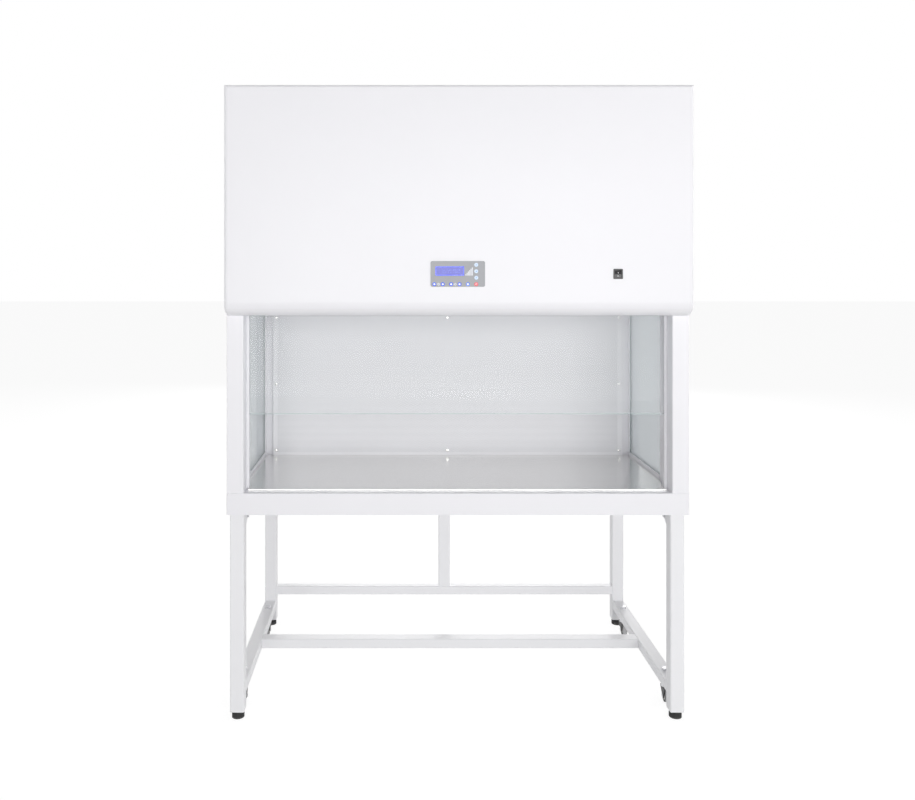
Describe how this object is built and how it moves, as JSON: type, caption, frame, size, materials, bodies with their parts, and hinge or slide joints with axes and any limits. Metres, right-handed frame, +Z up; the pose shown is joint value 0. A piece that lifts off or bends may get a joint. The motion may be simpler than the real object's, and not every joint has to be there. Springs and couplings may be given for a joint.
{
  "type": "laminar flow hood",
  "caption": "Vertical clean-air workbench: tall white hood over a stainless worktop with glass sash and sides, on an open tube stand with casters and levelling feet.",
  "frame": {"origin": "on the floor under the middle of the whole bench", "axes": "X to the user's right, Y to the back, Z up; the front faces -Y"},
  "size_m": [1.3, 0.7949, 1.79],
  "materials": {
    "white_paint": "semi-gloss",
    "grey_paint": "satin",
    "stainless": "brushed",
    "zinc": "plated",
    "clear_glass": "polished",
    "lamp_glass": "polished",
    "black_rubber": "matt",
    "caster_steel": "satin",
    "caster_tyre": "satin",
    "filter_media": "matt",
    "filter_mat": "matt",
    "galvanised": "galvanised",
    "cast_aluminium": "cast",
    "panel_grey": "satin",
    "display_dark": "gloss",
    "key_blue": "satin",
    "key_red": "satin",
    "black_plastic": "satin"
  },
  "bodies": {
    "cabinet": {"left_side_frame": "white_paint", "right_side_frame": "white_paint", "mid_cross_rail": "white_paint", "rear_frame": "white_paint", "frame_bolts": "zinc", "caster_stems": "zinc", "base_cabinet": "white_paint", "worktop": "stainless", "left_post": "white_paint", "right_post": "white_paint", "left_sash_guide": "white_paint", "right_sash_guide": "white_paint", "left_side_glass": "clear_glass", "right_side_glass": "clear_glass", "left_glass_frame": "grey_paint", "right_glass_frame": "grey_paint", "plenum_body": "white_paint", "diffuser_panel": "stainless", "panel_screws": "zinc", "hepa_filter": "filter_media", "hood_body": "white_paint", "front_cover": "white_paint", "rear_cover": "white_paint", "lamp_tray": "white_paint", "work_lamp": "lamp_glass", "germicidal_lamp": "lamp_glass", "blower_housing": "galvanised", "blower_motor": "cast_aluminium", "intake_grille": "white_paint", "pre_filter": "filter_mat", "control_panel": "panel_grey", "display_window": "display_dark", "switch_frame": "black_plastic", "power_inlet": "black_plastic"},
    "foot_front_right": {"levelling_foot_front_right": "black_rubber"},
    "fork_front_right": {"caster_fork_front_right": "caster_steel"},
    "wheel_front_right": {"caster_wheel_front_right": "caster_tyre"},
    "foot_front_left": {"levelling_foot_front_left": "black_rubber"},
    "fork_front_left": {"caster_fork_front_left": "caster_steel"},
    "wheel_front_left": {"caster_wheel_front_left": "caster_tyre"},
    "foot_back_right": {"levelling_foot_back_right": "black_rubber"},
    "fork_back_right": {"caster_fork_back_right": "caster_steel"},
    "wheel_back_right": {"caster_wheel_back_right": "caster_tyre"},
    "brake_back_right": {"caster_brake_back_right": "black_plastic"},
    "foot_back_left": {"levelling_foot_back_left": "black_rubber"},
    "fork_back_left": {"caster_fork_back_left": "caster_steel"},
    "wheel_back_left": {"caster_wheel_back_left": "caster_tyre"},
    "brake_back_left": {"caster_brake_back_left": "black_plastic"},
    "sash": {"sash_glass": "clear_glass"},
    "switch_lever": {"switch_rocker": "black_plastic"},
    "key_lamp_cap": {"key_lamp": "key_blue"},
    "key_germicidal_cap": {"key_germicidal": "key_blue"},
    "key_slower_cap": {"key_slower": "key_blue"},
    "key_faster_cap": {"key_faster": "key_blue"},
    "key_socket_cap": {"key_socket": "key_blue"},
    "key_power_cap": {"key_power": "key_red"},
    "key_down_cap": {"key_down": "key_blue"},
    "key_enter_cap": {"key_enter": "key_blue"},
    "key_up_cap": {"key_up": "key_blue"},
    "blower_wheel": {"impeller": "galvanised"}
  },
  "joints": [
    {"name": "foot_front_right_screw_height", "type": "slide", "parent": "cabinet", "child": "foot_front_right", "axis": [0, 0, -1], "range_m": [0, 0.02]},
    {"name": "caster_front_right_swivel", "type": "hinge", "parent": "cabinet", "child": "fork_front_right", "pos_m": [0.626, -0.215, 0.055], "axis": [0, 0, 1], "continuous": true},
    {"name": "caster_front_right_roll", "type": "hinge", "parent": "fork_front_right", "child": "wheel_front_right", "pos_m": [0.626, -0.225, 0.02], "axis": [1, 0, 0], "continuous": true},
    {"name": "foot_front_left_screw_height", "type": "slide", "parent": "cabinet", "child": "foot_front_left", "axis": [0, 0, -1], "range_m": [0, 0.02]},
    {"name": "caster_front_left_swivel", "type": "hinge", "parent": "cabinet", "child": "fork_front_left", "pos_m": [-0.626, -0.215, 0.055], "axis": [0, 0, 1], "continuous": true},
    {"name": "caster_front_left_roll", "type": "hinge", "parent": "fork_front_left", "child": "wheel_front_left", "pos_m": [-0.626, -0.225, 0.02], "axis": [1, 0, 0], "continuous": true},
    {"name": "foot_back_right_screw_height", "type": "slide", "parent": "cabinet", "child": "foot_back_right", "axis": [0, 0, -1], "range_m": [0, 0.02]},
    {"name": "caster_back_right_swivel", "type": "hinge", "parent": "cabinet", "child": "fork_back_right", "pos_m": [0.626, 0.255, 0.055], "axis": [0, 0, 1], "continuous": true},
    {"name": "caster_back_right_roll", "type": "hinge", "parent": "fork_back_right", "child": "wheel_back_right", "pos_m": [0.626, 0.245, 0.02], "axis": [1, 0, 0], "continuous": true},
    {"name": "caster_back_right_brake", "type": "hinge", "parent": "fork_back_right", "child": "brake_back_right", "pos_m": [0.626, 0.2679, 0.029], "axis": [-1, 0, 0], "range_deg": [0, 20]},
    {"name": "foot_back_left_screw_height", "type": "slide", "parent": "cabinet", "child": "foot_back_left", "axis": [0, 0, -1], "range_m": [0, 0.02]},
    {"name": "caster_back_left_swivel", "type": "hinge", "parent": "cabinet", "child": "fork_back_left", "pos_m": [-0.626, 0.255, 0.055], "axis": [0, 0, 1], "continuous": true},
    {"name": "caster_back_left_roll", "type": "hinge", "parent": "fork_back_left", "child": "wheel_back_left", "pos_m": [-0.626, 0.245, 0.02], "axis": [1, 0, 0], "continuous": true},
    {"name": "caster_back_left_brake", "type": "hinge", "parent": "fork_back_left", "child": "brake_back_left", "pos_m": [-0.626, 0.2679, 0.029], "axis": [-1, 0, 0], "range_deg": [0, 20]},
    {"name": "sash_lift", "type": "slide", "parent": "cabinet", "child": "sash", "axis": [0, 0, 1], "range_m": [-0.205, 0.27]},
    {"name": "mains_switch_rock", "type": "hinge", "parent": "cabinet", "child": "switch_lever", "pos_m": [0.439, -0.391, 1.267], "axis": [-1, 0, 0], "range_deg": [0, 24]},
    {"name": "key_lamp_press", "type": "slide", "parent": "cabinet", "child": "key_lamp_cap", "axis": [0, 1, 0], "range_m": [0, 0.0005], "stiffness_N_per_m": 600, "springref_m": -0.0005},
    {"name": "key_germicidal_press", "type": "slide", "parent": "cabinet", "child": "key_germicidal_cap", "axis": [0, 1, 0], "range_m": [0, 0.0005], "stiffness_N_per_m": 600, "springref_m": -0.0005},
    {"name": "key_slower_press", "type": "slide", "parent": "cabinet", "child": "key_slower_cap", "axis": [0, 1, 0], "range_m": [0, 0.0005], "stiffness_N_per_m": 600, "springref_m": -0.0005},
    {"name": "key_faster_press", "type": "slide", "parent": "cabinet", "child": "key_faster_cap", "axis": [0, 1, 0], "range_m": [0, 0.0005], "stiffness_N_per_m": 600, "springref_m": -0.0005},
    {"name": "key_socket_press", "type": "slide", "parent": "cabinet", "child": "key_socket_cap", "axis": [0, 1, 0], "range_m": [0, 0.0005], "stiffness_N_per_m": 600, "springref_m": -0.0005},
    {"name": "key_power_press", "type": "slide", "parent": "cabinet", "child": "key_power_cap", "axis": [0, 1, 0], "range_m": [0, 0.0005], "stiffness_N_per_m": 600, "springref_m": -0.0005},
    {"name": "key_down_press", "type": "slide", "parent": "cabinet", "child": "key_down_cap", "axis": [0, 1, 0], "range_m": [0, 0.0005], "stiffness_N_per_m": 600, "springref_m": -0.0005},
    {"name": "key_enter_press", "type": "slide", "parent": "cabinet", "child": "key_enter_cap", "axis": [0, 1, 0], "range_m": [0, 0.0005], "stiffness_N_per_m": 600, "springref_m": -0.0005},
    {"name": "key_up_press", "type": "slide", "parent": "cabinet", "child": "key_up_cap", "axis": [0, 1, 0], "range_m": [0, 0.0005], "stiffness_N_per_m": 600, "springref_m": -0.0005},
    {"name": "impeller_spin", "type": "hinge", "parent": "cabinet", "child": "blower_wheel", "pos_m": [0, 0.15, 1.44], "axis": [1, 0, 0], "continuous": true}
  ]
}
